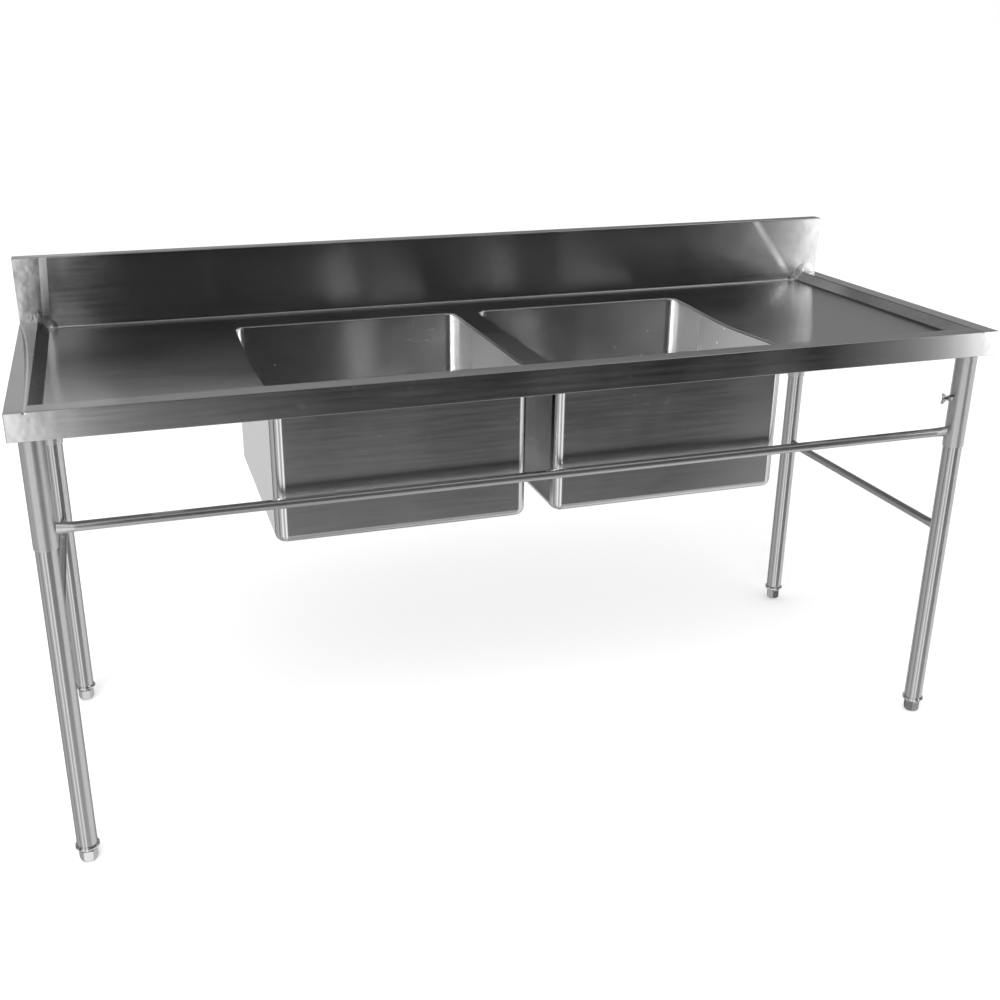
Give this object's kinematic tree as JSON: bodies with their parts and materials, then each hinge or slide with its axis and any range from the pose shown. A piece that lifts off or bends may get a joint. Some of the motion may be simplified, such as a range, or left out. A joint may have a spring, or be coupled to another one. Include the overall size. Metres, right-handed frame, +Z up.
{
  "type": "commercial sink bench",
  "caption": "Free-standing stainless steel sink bench with deep square bowls between sloping drainers, a splashback, tubular legs with rails, and adjustable feet.",
  "frame": {"origin": "on the floor, at the centre of the footprint", "axes": "+X along the bench to the user's right, +Y from the user towards the wall, +Z up"},
  "size_m": [1.9, 0.7, 1.032],
  "materials": {
    "deck_sheet": "fine horizontal brushed grain, near mirror",
    "bowl_sheet": "satin drawn stainless steel",
    "bearer_steel": "mill finish",
    "satin_tube": "satin tube",
    "plate_steel": "cut plate",
    "fastener_steel": "machined",
    "wing_metal": "plated casting",
    "polished_tube": "polished tube",
    "foot_metal": "turned and polished",
    "thread_steel": "threaded rod",
    "waste_metal": "polished pressing",
    "gasket_rubber": "moulded",
    "nut_plastic": "moulded"
  },
  "bodies": {
    "bench": {"worktop": "deck_sheet", "splashback": "deck_sheet", "splash_end_left": "deck_sheet", "splash_end_right": "deck_sheet", "bowl_left": "bowl_sheet", "bowl_right": "bowl_sheet", "bearer_left": "bearer_steel", "bearer_right": "bearer_steel", "rear_bearer": "bearer_steel", "drainer_channel_left": "bearer_steel", "drainer_channel_right": "bearer_steel", "sleeve_front_left": "satin_tube", "sleeve_rear_left": "satin_tube", "sleeve_front_right": "satin_tube", "sleeve_rear_right": "satin_tube", "socket_plate_front_left": "plate_steel", "socket_plate_rear_left": "plate_steel", "socket_plate_front_right": "plate_steel", "socket_plate_rear_right": "plate_steel", "socket_screws": "fastener_steel", "sleeve_nuts": "fastener_steel", "front_rail": "polished_tube", "waste_body_left": "waste_metal", "waste_body_right": "waste_metal", "waste_gasket_left": "gasket_rubber", "waste_gasket_right": "gasket_rubber", "waste_nut_left": "nut_plastic", "waste_nut_right": "nut_plastic"},
    "leg_frame_left": {"leg_front_left": "polished_tube", "leg_rear_left": "polished_tube", "side_rail_left": "polished_tube", "foot_insert_front_left": "foot_metal", "foot_insert_rear_left": "foot_metal"},
    "leg_frame_right": {"leg_front_right": "polished_tube", "leg_rear_right": "polished_tube", "side_rail_right": "polished_tube", "foot_insert_front_right": "foot_metal", "foot_insert_rear_right": "foot_metal"},
    "foot_stem_front_left": {"foot_stud_front_left": "thread_steel"},
    "foot_front_left": {"foot_hex_front_left": "foot_metal"},
    "wing_stem_front_left": {"wing_stud_front_left": "fastener_steel"},
    "wing_front_left": {"wing_head_front_left": "wing_metal"},
    "foot_stem_rear_left": {"foot_stud_rear_left": "thread_steel"},
    "foot_rear_left": {"foot_hex_rear_left": "foot_metal"},
    "wing_stem_rear_left": {"wing_stud_rear_left": "fastener_steel"},
    "wing_rear_left": {"wing_head_rear_left": "wing_metal"},
    "foot_stem_front_right": {"foot_stud_front_right": "thread_steel"},
    "foot_front_right": {"foot_hex_front_right": "foot_metal"},
    "wing_stem_front_right": {"wing_stud_front_right": "fastener_steel"},
    "wing_front_right": {"wing_head_front_right": "wing_metal"},
    "foot_stem_rear_right": {"foot_stud_rear_right": "thread_steel"},
    "foot_rear_right": {"foot_hex_rear_right": "foot_metal"},
    "wing_stem_rear_right": {"wing_stud_rear_right": "fastener_steel"},
    "wing_rear_right": {"wing_head_rear_right": "wing_metal"},
    "basket_left": {"waste_basket_left": "waste_metal"},
    "basket_right": {"waste_basket_right": "waste_metal"}
  },
  "joints": [
    {"name": "leg_frame_left_slide", "type": "slide", "parent": "bench", "child": "leg_frame_left", "axis": [0, 0, -1], "range_m": [0, 0.22]},
    {"name": "leg_frame_right_slide", "type": "slide", "parent": "bench", "child": "leg_frame_right", "axis": [0, 0, -1], "range_m": [0, 0.22]},
    {"name": "foot_front_left_travel", "type": "slide", "parent": "leg_frame_left", "child": "foot_stem_front_left", "axis": [0, 0, -1], "range_m": [0, 0.02]},
    {"name": "foot_front_left_turn", "type": "hinge", "parent": "foot_stem_front_left", "child": "foot_front_left", "pos_m": [-0.915, -0.309, 0.012], "axis": [0, 0, -1], "range_deg": [0, 3600]},
    {"name": "wing_front_left_travel", "type": "slide", "parent": "bench", "child": "wing_stem_front_left", "axis": [0, 1, 0], "range_m": [0, 0.006]},
    {"name": "wing_front_left_turn", "type": "hinge", "parent": "wing_stem_front_left", "child": "wing_front_left", "pos_m": [-0.915, -0.274, 0.752], "axis": [0, 1, 0], "range_deg": [0, 2160]},
    {"name": "foot_rear_left_travel", "type": "slide", "parent": "leg_frame_left", "child": "foot_stem_rear_left", "axis": [0, 0, -1], "range_m": [0, 0.02]},
    {"name": "foot_rear_left_turn", "type": "hinge", "parent": "foot_stem_rear_left", "child": "foot_rear_left", "pos_m": [-0.915, 0.3, 0.012], "axis": [0, 0, -1], "range_deg": [0, 3600]},
    {"name": "wing_rear_left_travel", "type": "slide", "parent": "bench", "child": "wing_stem_rear_left", "axis": [1, 0, 0], "range_m": [0, 0.006]},
    {"name": "wing_rear_left_turn", "type": "hinge", "parent": "wing_stem_rear_left", "child": "wing_rear_left", "pos_m": [-0.88, 0.3, 0.752], "axis": [1, 0, 0], "range_deg": [0, 2160]},
    {"name": "foot_front_right_travel", "type": "slide", "parent": "leg_frame_right", "child": "foot_stem_front_right", "axis": [0, 0, -1], "range_m": [0, 0.02]},
    {"name": "foot_front_right_turn", "type": "hinge", "parent": "foot_stem_front_right", "child": "foot_front_right", "pos_m": [0.915, -0.309, 0.012], "axis": [0, 0, -1], "range_deg": [0, 3600]},
    {"name": "wing_front_right_travel", "type": "slide", "parent": "bench", "child": "wing_stem_front_right", "axis": [-1, 0, 0], "range_m": [0, 0.006]},
    {"name": "wing_front_right_turn", "type": "hinge", "parent": "wing_stem_front_right", "child": "wing_front_right", "pos_m": [0.88, -0.309, 0.752], "axis": [-1, 0, 0], "range_deg": [0, 2160]},
    {"name": "foot_rear_right_travel", "type": "slide", "parent": "leg_frame_right", "child": "foot_stem_rear_right", "axis": [0, 0, -1], "range_m": [0, 0.02]},
    {"name": "foot_rear_right_turn", "type": "hinge", "parent": "foot_stem_rear_right", "child": "foot_rear_right", "pos_m": [0.915, 0.3, 0.012], "axis": [0, 0, -1], "range_deg": [0, 3600]},
    {"name": "wing_rear_right_travel", "type": "slide", "parent": "bench", "child": "wing_stem_rear_right", "axis": [-1, 0, 0], "range_m": [0, 0.006]},
    {"name": "wing_rear_right_turn", "type": "hinge", "parent": "wing_stem_rear_right", "child": "wing_rear_right", "pos_m": [0.88, 0.3, 0.752], "axis": [-1, 0, 0], "range_deg": [0, 2160]},
    {"name": "basket_left_lift", "type": "slide", "parent": "bench", "child": "basket_left", "axis": [0, 0, 1], "range_m": [0, 0.32]},
    {"name": "basket_right_lift", "type": "slide", "parent": "bench", "child": "basket_right", "axis": [0, 0, 1], "range_m": [0, 0.32]}
  ],
  "couplings": [
    {"joint": "foot_front_left_travel", "follows": "foot_front_left_turn", "m_per_rad": 0.0003183},
    {"joint": "wing_front_left_travel", "follows": "wing_front_left_turn", "m_per_rad": 0.0001591},
    {"joint": "foot_rear_left_travel", "follows": "foot_rear_left_turn", "m_per_rad": 0.0003183},
    {"joint": "wing_rear_left_travel", "follows": "wing_rear_left_turn", "m_per_rad": 0.0001591},
    {"joint": "foot_front_right_travel", "follows": "foot_front_right_turn", "m_per_rad": 0.0003183},
    {"joint": "wing_front_right_travel", "follows": "wing_front_right_turn", "m_per_rad": 0.0001591},
    {"joint": "foot_rear_right_travel", "follows": "foot_rear_right_turn", "m_per_rad": 0.0003183},
    {"joint": "wing_rear_right_travel", "follows": "wing_rear_right_turn", "m_per_rad": 0.0001591}
  ]
}
